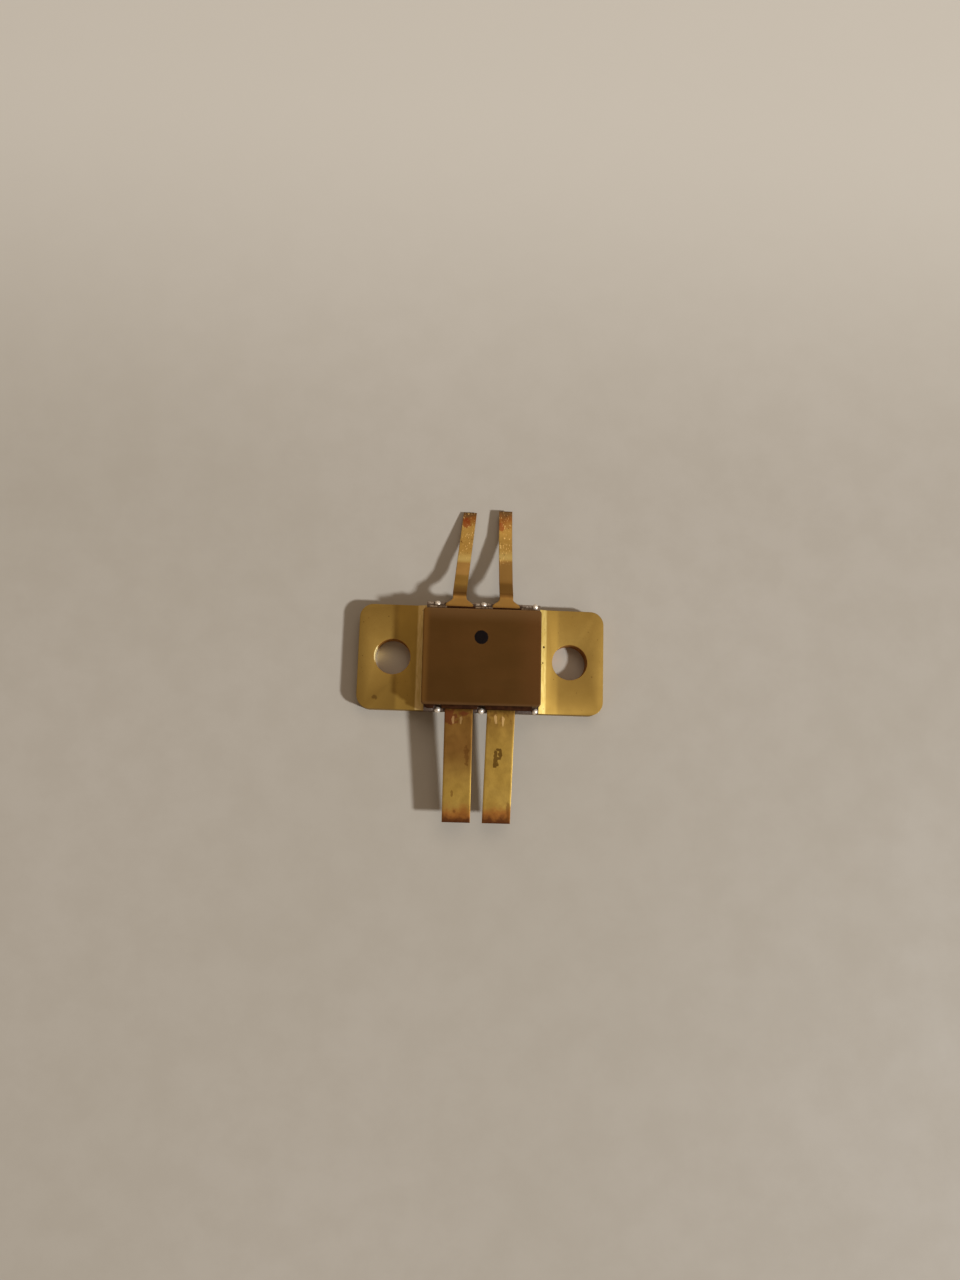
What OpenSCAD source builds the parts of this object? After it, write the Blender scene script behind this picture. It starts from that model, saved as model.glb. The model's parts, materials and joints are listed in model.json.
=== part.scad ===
// Balanced RF power transistor in a flange-mounted ceramic strip-line package.
// The origin is the centre of the flange's bottom face and +Z is up.
// The two wide output leads point along -Y, the two narrow input leads along +Y.

/* [Flange] */
// Length of the flange over both ears
flange_length = 22.86; // [21.5:0.01:26]
// Depth of the flange, front to back
flange_depth = 9.78; // [8.5:0.01:11]
// Thickness of the flange at its ears
flange_thickness = 1.52; // [1.3:0.01:2.5]
// Radius of the flange's four corners
corner_radius = 1.27; // [0.3:0.01:2.5]
// Distance between the two screw holes
hole_spacing = 16.51; // [15.6:0.01:17.6]
// Diameter of each screw hole
hole_diameter = 3.3; // [2.6:0.01:3.6]

/* [Pad] */
// Height of the pad under the ceramic base, above the ears
pad_height = 0.27; // [0.15:0.01:0.5]
// Bare top of the pad past each end of the base
pad_margin = 0.17; // [0.05:0.01:0.4]
// Length of the slope from the pad down to each ear
pad_slope = 0.67; // [0.3:0.01:0.9]

/* [Ceramic base] */
// Length of the ceramic base
base_length = 10.46; // [10:0.01:11]
// Thickness of the ceramic base
base_thickness = 1.25; // [1:0.01:1.7]
// How far the base stands out past the flange, front and back
base_overhang = 0.12; // [0:0.01:0.3]
// Thickness of the braze under the base
braze_thickness = 0.05; // [0.02:0.01:0.1]
// Thickness of the metal lands on top of the base
land_thickness = 0.03; // [0.02:0.01:0.06]
// Bare ceramic left along the front and back edges of the lands
land_edge = 0.06; // [0.02:0.01:0.2]

/* [Castellations] */
// Distance from the ends of the base to the outer front beads, left and right
front_bead_margin = [1.28, 0.33]; // [0.32:0.01:1.3]
// Distance from the ends of the base to the outer back beads, left and right
back_bead_margin = [0.98, 0.48]; // [0.32:0.01:1]
// How far the front beads stand in from the edge of the base: left, middle and right
front_bead_inset = [0.1, 0.1, 0.22]; // [0.05:0.01:0.22]
// How far the back beads stand in from the edge of the base: left, middle and right
back_bead_inset = [0.18, 0.16, 0.18]; // [0.05:0.01:0.22]
// Radius of the groove that each castellation cuts into the base
groove_radius = 0.25; // [0.15:0.01:0.28]
// Radius of the braze bead that fills each castellation
bead_radius = 0.3; // [0.29:0.01:0.36]
// How far the middle of a bead lies below the top of the lands
bead_drop = 0.1; // [0.04:0.01:0.15]
// Gap that the notches in the frame leave round the beads
notch_gap = 0.05; // [0.02:0.01:0.1]

/* [Window frame] */
// Width of the ledge that the base leaves in front of the frame
front_ledge = 0.03; // [0:0.01:0.4]
// Width of the ledge that the base leaves behind the frame
back_ledge = 0.46; // [0.2:0.01:0.6]
// How far the frame stands back from the ends of the base
frame_inset = 0.03; // [0:0.01:0.2]
// Wall of the frame along its ends
frame_end_wall = 0.9; // [0.4:0.01:1.1]
// Wall of the frame along its front
frame_front_wall = 1.38; // [1.1:0.01:1.8]
// Height of the frame above the glass
frame_height = 0.48; // [0.4:0.01:1]
// Corner radius of the frame, inside and outside
frame_corner = 0.4; // [0.1:0.01:0.8]
// Thickness of the sealing glass above the leads
glass_cover = 0.02; // [0.01:0.01:0.1]

/* [Lid] */
// How far the lid reaches past each end of the frame
lid_overhang = 0.185; // [0.05:0.005:0.3]
// How much shorter the lid is than the frame at the front, and at the back
lid_setback = 0.395; // [0.17:0.005:0.5]
// How far the lid sits off the middle: to the right, to the back
lid_shift = [-0.18, -0.05]; // [-0.2:0.01:0]
// Turn of the lid on its seal, in degrees
lid_turn = 0.5; // [-0.5:0.1:0.7]
// Thickness of the lid
lid_thickness = 0.3; // [0.25:0.01:0.6]
// Corner radius of the lid, seen from above
lid_corner = 0.5; // [0.3:0.01:1.2]
// Thickness of the seal between the frame and the lid
lid_seal_thickness = 0.05; // [0.02:0.01:0.1]
// Width of the seal's free edge inside and outside
lid_seal_margin = 0.1; // [0.05:0.01:0.2]

/* [Leads] */
// Thickness of all four leads
lead_thickness = 0.13; // [0.08:0.01:0.2]
// Width of the wide leads and of the feet of the narrow leads
wide_width = 2.54; // [2.2:0.01:2.8]
// Width of the narrow leads
narrow_width = 1.27; // [0.8:0.01:2]
// Distance between the middles of the two wide leads
wide_spacing = 3.81; // [3.7:0.01:4.2]
// Distance between the middles of the two narrow leads
narrow_spacing = 4.32; // [3.8:0.01:4.5]
// How far the left and right wide leads sit outward from the middles of their lands
wide_offset = [0.12, -0.1]; // [-0.15:0.01:0.15]
// How far the left and right narrow leads sit outward from the middles of their lands
narrow_offset = [0.04, -0.08]; // [-0.15:0.01:0.15]
// How far the wide leads reach out past the base
wide_reach = 9.9; // [6:0.01:14]
// How far the left and right narrow leads reach out past the base
narrow_reach = [9.44, 9.57]; // [6:0.01:11]
// How far the foot of a narrow lead shows behind the frame
foot_show = 0.38; // [0.1:0.01:1]
// Length of the neck between a foot and its narrow lead
neck_length = 0.6; // [0.2:0.01:1.5]
// How far each lead reaches into the window of the frame
lead_entry = 0.45; // [0.3:0.01:0.6]
// Metal left bare beside each lead on its land
land_border = 0.15; // [0.05:0.01:0.2]

/* [Lead bends] */
// Radius of the first bend, on the left and right narrow leads
fall_radius = [1.5, 1]; // [1:0.5:3]
// Slope at which the left and right narrow leads come down, in degrees
fall_angle = [40, 40]; // [20:1:43]
// Slope of the left and right narrow leads at their tips, in degrees
tip_angle = [9, 6]; // [0:1:11]
// Distance from the base to the first bend, left and right
fall_start = [0.3, 0.5]; // [0:0.05:1]
// Distance from the base to the second bend, left and right
rise_start = [2.4, 2.8]; // [1.5:0.1:2.8]
// Radius of the second bend, on the left and right narrow leads
rise_radius = [3, 1]; // [0.5:0.5:4]
// Slope of the wide leads, in degrees
wide_angle = 5; // [0:0.5:8]
// Radius of the slight bend at the root of a wide lead
wide_bend_radius = 10; // [2:0.5:15]
// Sideways drift of each lead's tip towards the middle: wide leads, left and right
wide_drift = [0.09, 0.16]; // [0:0.01:0.3]
// Sideways drift of each lead's tip towards the middle: narrow leads, left and right
narrow_drift = [0.82, 0.08]; // [0:0.01:1]

/* [Chips and wires] */
// Length of each transistor chip, along the row of wires
die_length = 2.4; // [2.2:0.01:2.5]
// Depth of each transistor chip
die_depth = 0.7; // [0.6:0.01:0.8]
// Land left behind a transistor chip
land_past_die = 0.2; // [0.1:0.01:0.3]
// Bare ceramic between two neighbouring lands
land_gap = 0.25; // [0.15:0.01:0.3]
// Depth of the bar that grounds the emitter wires
bridge_depth = 0.3; // [0.2:0.01:0.4]
// Ground land in front of the grounding bar
bridge_margin = 0.05; // [0.02:0.01:0.1]
// Length of each capacitor chip
capacitor_length = 2.2; // [2.1:0.01:2.5]
// Depth of each capacitor chip
capacitor_depth = 0.5; // [0.4:0.01:0.6]
// Gap between a capacitor chip and its neighbour
chip_gap = 0.35; // [0.3:0.01:0.4]
// Ground land left behind the rear capacitor chips
ground_margin = 0.1; // [0.05:0.01:0.2]
// Land that shows in front of the inner end of each back lead
land_before_lead = 0.15; // [0.05:0.01:0.3]
// Width of the ground land's fingers that run to the castellations
finger_width = 0.5; // [0.3:0.01:0.55]
// Diameter of the bond wires
wire_diameter = 0.06; // [0.04:0.01:0.08]
// Height of the wire loops above the chips
loop_height = 0.25; // [0.15:0.01:0.28]
// Distance between neighbouring bond wires
wire_pitch = 0.45; // [0.3:0.01:0.5]
// Number of wires in each group that carries the input
wire_count = 5; // [2:1:5]
// Distance from a chip's edge to the wires that land on it
wire_inset = 0.12; // [0.08:0.01:0.15]

/* [Hidden] */
$fn = 64;
// Overrun of a cutting form past the faces that it cuts
cut = 1;
// Flat pieces that make up one bend of a lead, and one neck
bend_steps = 8;
neck_steps = 8;
round_steps = 16;

// Levels, from the flange's pad up to the lid
pad_top = flange_thickness + pad_height;
braze_top = pad_top + braze_thickness;
base_top = braze_top + base_thickness;
land_top = base_top + land_thickness;
lead_top = land_top + lead_thickness;
glass_top = lead_top + glass_cover;
frame_top = glass_top + frame_height;
lid_seal_top = frame_top + lid_seal_thickness;

// Outlines that fit each other
base_depth = flange_depth + 2 * base_overhang;
pad_half = base_length / 2 + pad_margin;
pad_foot = pad_half + pad_slope;
frame_length = base_length - 2 * frame_inset;
frame_depth = base_depth - front_ledge - back_ledge;
frame_middle = (front_ledge - back_ledge) / 2;
frame_back = base_depth / 2 - back_ledge;
window_length = frame_length - 2 * frame_end_wall;
window_depth = base_depth - 2 * (front_ledge + frame_front_wall);
lid_length = frame_length + 2 * lid_overhang;
lid_depth = frame_depth - 2 * lid_setback;
bead_z = land_top - bead_drop;
land_outer = base_depth / 2 - land_edge;
lead_inner = window_depth / 2 - lead_entry;

// Rows of the circuit on the base, laid out forward from the inner ends of the back leads
base_land_front = lead_inner - land_before_lead;
ground_back = base_land_front - land_gap;
far_capacitor_back = ground_back - ground_margin;
far_capacitor_front = far_capacitor_back - capacitor_depth;
near_capacitor_back = far_capacitor_front - chip_gap;
near_capacitor_front = near_capacitor_back - capacitor_depth;
bridge_back = near_capacitor_front - chip_gap;
bridge_front = bridge_back - bridge_depth;
ground_front = bridge_front - bridge_margin;
collector_land_back = ground_front - land_gap;
die_back = collector_land_back - land_past_die;
die_front = die_back - die_depth;

// Value of a left and right pair for one side, -1 left and 1 right
function of_side(pair, side) = side < 0 ? pair[0] : pair[1];

// Rectangle with round corners, centred on the origin
module rounded_rectangle(length, depth, radius) {
    square([length - 2 * radius, depth], center = true);
    square([length, depth - 2 * radius], center = true);
    for (x = [-1, 1], y = [-1, 1])
        translate([x * (length / 2 - radius), y * (depth / 2 - radius)])
            circle(r = radius);
}

// Flat ring with round corners: its middle lies off the middle of its window by a little
module rounded_ring(length, depth, middle, margin, height) {
    linear_extrude(height)
        difference() {
            translate([0, middle])
                rounded_rectangle(length, depth, frame_corner);
            rounded_rectangle(window_length + 2 * margin, window_depth + 2 * margin, frame_corner);
        }
}

// Section of the flange along its length: a low pad whose ends slope down to the ears
module flange_section() {
    end = flange_length / 2;
    polygon([
        [-end, 0], [-end, flange_thickness], [-pad_foot, flange_thickness], [-pad_half, pad_top],
        [pad_half, pad_top], [pad_foot, flange_thickness], [end, flange_thickness], [end, 0],
    ]);
}

module flange() {
    color("goldenrod")
        difference() {
            intersection() {
                linear_extrude(pad_top + cut)
                    rounded_rectangle(flange_length, flange_depth, corner_radius);
                rotate([90, 0, 0])
                    linear_extrude(flange_depth + 2 * cut, center = true)
                        flange_section();
            }
            for (x = [-1, 1])
                translate([x * hole_spacing / 2, 0, -cut])
                    cylinder(d = hole_diameter, h = flange_thickness + 2 * cut);
        }
}

module base_braze() {
    color("silver")
        translate([-base_length / 2, -flange_depth / 2, pad_top])
            cube([base_length, flange_depth, braze_thickness]);
}

// Middle of a bead: column -1 left, 0 middle and 1 right; row -1 front and 1 back
function bead_x(column, row) =
    column * (base_length / 2 - of_side(row < 0 ? front_bead_margin : back_bead_margin, column));

function bead_y(column, row) =
    row * (base_depth / 2 - (row < 0 ? front_bead_inset : back_bead_inset)[column + 1]);

// Braze that fills one castellation: a column in the groove and a drop at its mouth
module bead_form(column, row) {
    place = [bead_x(column, row), bead_y(column, row)];
    intersection() {
        translate([place[0], place[1], braze_top])
            cylinder(r = groove_radius, h = bead_z - braze_top);
        translate([-base_length / 2, -base_depth / 2, 0])
            cube([base_length, base_depth, land_top]);
    }
    translate([place[0], place[1], bead_z])
        sphere(r = bead_radius);
}

// Notches that leave the beads free of the glass and the frame
module bead_notches() {
    for (column = [-1, 0, 1], row = [-1, 1])
        translate([bead_x(column, row), bead_y(column, row), base_top])
            cylinder(r = bead_radius + notch_gap, h = lid_seal_top - base_top);
}

module all_beads() {
    for (column = [-1, 0, 1], row = [-1, 1])
        bead_form(column, row);
}

module ground_bead(column, row) {
    color("lightgray")
        bead_form(column, row);
}

module ceramic_base() {
    color("gainsboro")
        difference() {
            translate([-base_length / 2, -base_depth / 2, braze_top])
                cube([base_length, base_depth, base_thickness]);
            all_beads();
        }
}

// The grounded strip under the capacitors, with fingers to the six castellations
module ground_land() {
    strip_length = base_length - 4 * land_edge;
    color("gold")
        difference() {
            translate([0, 0, base_top])
                linear_extrude(land_thickness) {
                    translate([-strip_length / 2, ground_front])
                        square([strip_length, ground_back - ground_front]);
                    for (column = [-1, 0, 1]) {
                        front = bead_y(column, -1);
                        translate([bead_x(column, -1) - finger_width / 2, front])
                            square([finger_width, ground_back - front]);
                        translate([bead_x(column, 1) - finger_width / 2, ground_front])
                            square([finger_width, bead_y(column, 1) - ground_front]);
                    }
                }
            all_beads();
        }
}

// One land: a thin plate as wide as a lead's foot and its borders
module land(x, y_front, y_back) {
    width = wide_width + 2 * land_border;
    color("gold")
        translate([x - width / 2, y_front, base_top])
            cube([width, y_back - y_front, land_thickness]);
}

module collector_land(side) {
    land(side * wide_spacing / 2, -land_outer, collector_land_back);
}

module base_land(side) {
    land(side * narrow_spacing / 2, base_land_front, land_outer);
}

// Middle line of a lead seen from the side, as [distance out, height, slope] in turn:
// level to the first bend, down at one slope, and out to the tip at a gentler slope
function bend(y, z, radius, from, to) =
    [for (i = [0 : bend_steps])
        let (slope = from + (to - from) * i / bend_steps, turn = to > from ? 1 : -1)
        [
            y + turn * radius * (sin(slope) - sin(from)),
            z - turn * radius * (cos(from) - cos(slope)),
            slope,
        ]];

function last(points) = points[len(points) - 1];

function run_to(point, y) =
    [[y, point[1] - (y - point[0]) * tan(point[2]), point[2]]];

function wide_path(level) =
    let (root = bend(base_depth / 2, level, wide_bend_radius, 0, wide_angle))
    concat(
        [[lead_inner, level, 0]],
        root,
        run_to(last(root), base_depth / 2 + wide_reach)
    );

function narrow_path(level, side) =
    let (
        fall = bend(
            base_depth / 2 + of_side(fall_start, side), level,
            of_side(fall_radius, side), 0, of_side(fall_angle, side)
        ),
        slope = run_to(last(fall), base_depth / 2 + of_side(rise_start, side))[0],
        rise = bend(
            slope[0], slope[1], of_side(rise_radius, side),
            slope[2], of_side(tip_angle, side)
        )
    )
    concat(
        [[lead_inner, level, 0]],
        fall,
        rise,
        run_to(last(rise), base_depth / 2 + of_side(narrow_reach, side))
    );

// Strip of even thickness along such a line, standing across the whole lead
module bent_sheet(path, width) {
    above = [for (p = path) [p[0] + lead_thickness / 2 * sin(p[2]), p[1] + lead_thickness / 2 * cos(p[2])]];
    below = [for (p = path) [p[0] - lead_thickness / 2 * sin(p[2]), p[1] - lead_thickness / 2 * cos(p[2])]];
    count = len(path);
    rotate([90, 0, 90])
        linear_extrude(width, center = true)
            polygon(concat(above, [for (i = [count - 1 : -1 : 0]) below[i]]));
}

// Plan of a lead from its stations, each [distance out, middle, half width]
module lead_plan(stations) {
    count = len(stations);
    left_edge = [for (s = stations) [s[1] - s[2], s[0]]];
    right_edge = [for (s = stations) [s[1] + s[2], s[0]]];
    linear_extrude(2 * lead_top, center = true)
        polygon(concat(left_edge, [for (i = [count - 1 : -1 : 0]) right_edge[i]]));
}

// Middle of the root of a lead, close to the middle of its land
function wide_middle(side) = side * (wide_spacing / 2 + of_side(wide_offset, side));
function narrow_middle(side) = side * (narrow_spacing / 2 + of_side(narrow_offset, side));

// Front lead: one even strip that droops slightly
module collector_lead(side) {
    x = wide_middle(side);
    half = wide_width / 2;
    tip = base_depth / 2 + wide_reach + cut;
    drift = -side * of_side(wide_drift, side);
    color("peru")
        mirror([0, 1, 0])
            intersection() {
                bent_sheet(wide_path(land_top + lead_thickness / 2), 2 * base_length);
                lead_plan([
                    [0, x, half],
                    [base_depth / 2, x, half],
                    [tip, x + drift, half],
                ]);
            }
}

// Back lead: a wide foot, a flared neck and a narrow strip bent down to the table
module base_lead(side) {
    x = narrow_middle(side);
    foot = wide_width / 2;
    strip = narrow_width / 2;
    foot_end = frame_back + foot_show;
    tip = base_depth / 2 + of_side(narrow_reach, side) + cut;
    drift = -side * of_side(narrow_drift, side);
    neck = [for (i = [0 : neck_steps])
        let (u = i / neck_steps)
        [
            foot_end + neck_length * u,
            x + drift * neck_length * u / (tip - foot_end),
            strip + (foot - strip) * (1 + cos(180 * u)) / 2,
        ]];
    color("peru")
        intersection() {
            bent_sheet(narrow_path(land_top + lead_thickness / 2, side), 2 * base_length);
            lead_plan(concat([[0, x, foot]], neck, [[tip, x + drift, strip]]));
        }
}

// The part of a lead that lies on its land, up to the front of the base
module lead_root(x, width) {
    translate([x - width / 2, lead_inner, land_top])
        cube([width, base_depth / 2 - lead_inner, lead_thickness]);
}

// Chips: a plate on the land or on the ground strip
module chip(side, y_front, length, depth) {
    translate([side * wide_spacing / 2 - length / 2, y_front, land_top])
        cube([length, depth, lead_thickness]);
}

module transistor_die(side) {
    color("slategray")
        chip(side, die_front, die_length, die_depth);
}

module emitter_bridge(side) {
    color("gold")
        chip(side, bridge_front, die_length, bridge_depth);
}

module near_capacitor(side) {
    color("dimgray")
        chip(side, near_capacitor_front, capacitor_length, capacitor_depth);
}

module far_capacitor(side) {
    color("dimgray")
        chip(side, far_capacitor_front, capacitor_length, capacitor_depth);
}

// Bond wire: it rises from one pad, runs level and comes down on the next
module bond_wire(y_from, y_to) {
    for (end = [0, 1])
        translate([0, end == 0 ? y_from + loop_height : y_to - loop_height, lead_top])
            mirror([0, end, 0])
                rotate([90, 0, -90])
                    rotate_extrude(angle = 90)
                        translate([loop_height, 0])
                            circle(d = wire_diameter, $fn = round_steps);
    translate([0, y_from + loop_height, lead_top + loop_height])
        rotate([-90, 0, 0])
            cylinder(d = wire_diameter, h = y_to - y_from - 2 * loop_height, $fn = round_steps);
}

// Row of bond wires, centred over the chips of one side
module wire_row(side, count, y_from, y_to) {
    color("gold")
        for (i = [0 : count - 1])
            translate([side * wide_spacing / 2 + (i - (count - 1) / 2) * wire_pitch, 0, 0])
                bond_wire(y_from, y_to);
}

module emitter_wires(side) {
    wire_row(side, wire_count - 1, die_back - wire_inset, bridge_front + bridge_depth / 2);
}

module die_wires(side) {
    wire_row(side, wire_count, die_front + wire_inset, near_capacitor_front + wire_inset);
}

module link_wires(side) {
    wire_row(side, wire_count, near_capacitor_back - wire_inset, far_capacitor_front + wire_inset);
}

module input_wires(side) {
    wire_row(side, wire_count, far_capacitor_back - wire_inset, lead_inner + wire_inset);
}

// Glass under the window frame, moulded round the lands and the roots of the leads
module sealing_glass() {
    color("saddlebrown")
        difference() {
            translate([0, 0, base_top])
                rounded_ring(frame_length, frame_depth, frame_middle, 0, glass_top - base_top);
            bead_notches();
            ground_land();
            for (side = [-1, 1]) {
                collector_land(side);
                base_land(side);
                mirror([0, 1, 0])
                    lead_root(wide_middle(side), wide_width);
                lead_root(narrow_middle(side), wide_width);
            }
        }
}

module window_frame() {
    color("sienna")
        difference() {
            translate([0, 0, glass_top])
                rounded_ring(frame_length, frame_depth, frame_middle, 0, frame_height);
            bead_notches();
        }
}

module lid_seal() {
    length = frame_length - 2 * lid_seal_margin;
    depth = lid_depth - 2 * lid_seal_margin;
    color("black")
        difference() {
            translate([0, 0, frame_top])
                rounded_ring(length, depth, lid_shift[1], lid_seal_margin, lid_seal_thickness);
            bead_notches();
        }
}

// Flat plate, set down a little askew as on the real part
module lid() {
    color("sienna")
        translate([lid_shift[0], lid_shift[1], lid_seal_top])
            rotate(lid_turn)
                linear_extrude(lid_thickness)
                    rounded_rectangle(lid_length, lid_depth, lid_corner);
}

flange();
base_braze();
ceramic_base();
ground_land();
collector_land(-1);  // collector_land_left
collector_land(1);  // collector_land_right
base_land(-1);  // base_land_left
base_land(1);  // base_land_right
collector_lead(-1);  // collector_lead_left
collector_lead(1);  // collector_lead_right
base_lead(-1);  // base_lead_left
base_lead(1);  // base_lead_right
ground_bead(-1, -1);  // ground_bead_front_left
ground_bead(0, -1);  // ground_bead_front_middle
ground_bead(1, -1);  // ground_bead_front_right
ground_bead(-1, 1);  // ground_bead_back_left
ground_bead(0, 1);  // ground_bead_back_middle
ground_bead(1, 1);  // ground_bead_back_right
transistor_die(-1);  // transistor_die_left
transistor_die(1);  // transistor_die_right
emitter_bridge(-1);  // emitter_bridge_left
emitter_bridge(1);  // emitter_bridge_right
near_capacitor(-1);  // near_capacitor_left
near_capacitor(1);  // near_capacitor_right
far_capacitor(-1);  // far_capacitor_left
far_capacitor(1);  // far_capacitor_right
emitter_wires(-1);  // emitter_wires_left
emitter_wires(1);  // emitter_wires_right
die_wires(-1);  // die_wires_left
die_wires(1);  // die_wires_right
link_wires(-1);  // link_wires_left
link_wires(1);  // link_wires_right
input_wires(-1);  // input_wires_left
input_wires(1);  // input_wires_right
sealing_glass();
window_frame();
lid_seal();
lid();
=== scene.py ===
"""Looks of a gold-plated, flange-mounted power transistor lying on a pale table."""
import json
import math

import bmesh
import bpy
from mathutils import Matrix, Vector, noise


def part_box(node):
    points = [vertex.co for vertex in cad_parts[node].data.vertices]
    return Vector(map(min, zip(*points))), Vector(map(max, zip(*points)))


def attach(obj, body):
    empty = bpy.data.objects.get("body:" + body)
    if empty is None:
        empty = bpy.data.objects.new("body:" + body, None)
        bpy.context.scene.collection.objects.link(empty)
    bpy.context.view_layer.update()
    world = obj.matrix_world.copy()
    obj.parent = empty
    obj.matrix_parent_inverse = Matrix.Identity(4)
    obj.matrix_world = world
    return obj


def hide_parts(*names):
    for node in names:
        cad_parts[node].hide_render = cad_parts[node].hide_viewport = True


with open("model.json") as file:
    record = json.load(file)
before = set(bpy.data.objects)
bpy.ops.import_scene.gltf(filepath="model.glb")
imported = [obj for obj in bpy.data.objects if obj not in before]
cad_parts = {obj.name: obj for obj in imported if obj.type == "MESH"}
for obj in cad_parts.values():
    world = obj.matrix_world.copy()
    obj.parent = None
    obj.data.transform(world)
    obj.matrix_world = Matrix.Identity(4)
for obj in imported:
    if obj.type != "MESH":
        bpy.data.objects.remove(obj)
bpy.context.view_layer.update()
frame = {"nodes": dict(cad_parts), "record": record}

MM = 0.001
BODY = "root"
SIDES = {"left": -1, "right": 1}
TABLE_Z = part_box("flange")[0].z

# How far the front of the window frame stands back from the node's
FRONT_SET_BACK = 0.17

# Screw holes of the flange, for the finish of their walls
HOLE_X = 8.255
HOLE_RADIUS = 1.65

# Camera of the photograph: its place in millimetres and its turn in degrees
CAMERA_PLACE = (-4.54, -11.42, 86.64)
CAMERA_TURN = (8.85, -2.89, 2.09)
FOCAL_PIXELS = 924
PHOTO_HEIGHT = 1280
SENSOR_MM = 36

# Key lamp: right of the object, a little to the front, 41 degrees above the table
KEY_DIRECTION = (1.09, -0.42, 1.0)
KEY_DISTANCE = 1.5
KEY_SIZE = 0.135
KEY_WATTS = 23.4
KEY_COLOUR = (0.9, 0.955, 1.0)
# Broad soft lamp above and behind the object, which the tilted leads reflect
FILL_DIRECTION = (0.1, 0.5, 0.86)
FILL_DISTANCE = 0.6
FILL_SIZE = 0.4
FILL_WATTS = 0.55
FILL_COLOUR = (1.0, 0.88, 0.74)
WORLD_COLOUR = (1.0, 0.8, 0.61)
WORLD_STRENGTH = 0.27


def size_of(node):
    """Lowest corner, highest corner and middle of a CAD node, in millimetres."""
    low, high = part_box(node)
    return low / MM, high / MM, (low + high) / 2 / MM


def srgb(red, green, blue):
    """Linear colour of a 0-255 sRGB colour."""
    def linear(value):
        value /= 255
        return value / 12.92 if value <= 0.04045 else ((value + 0.055) / 1.055) ** 2.4
    return (linear(red), linear(green), linear(blue), 1)


# Materials

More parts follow.
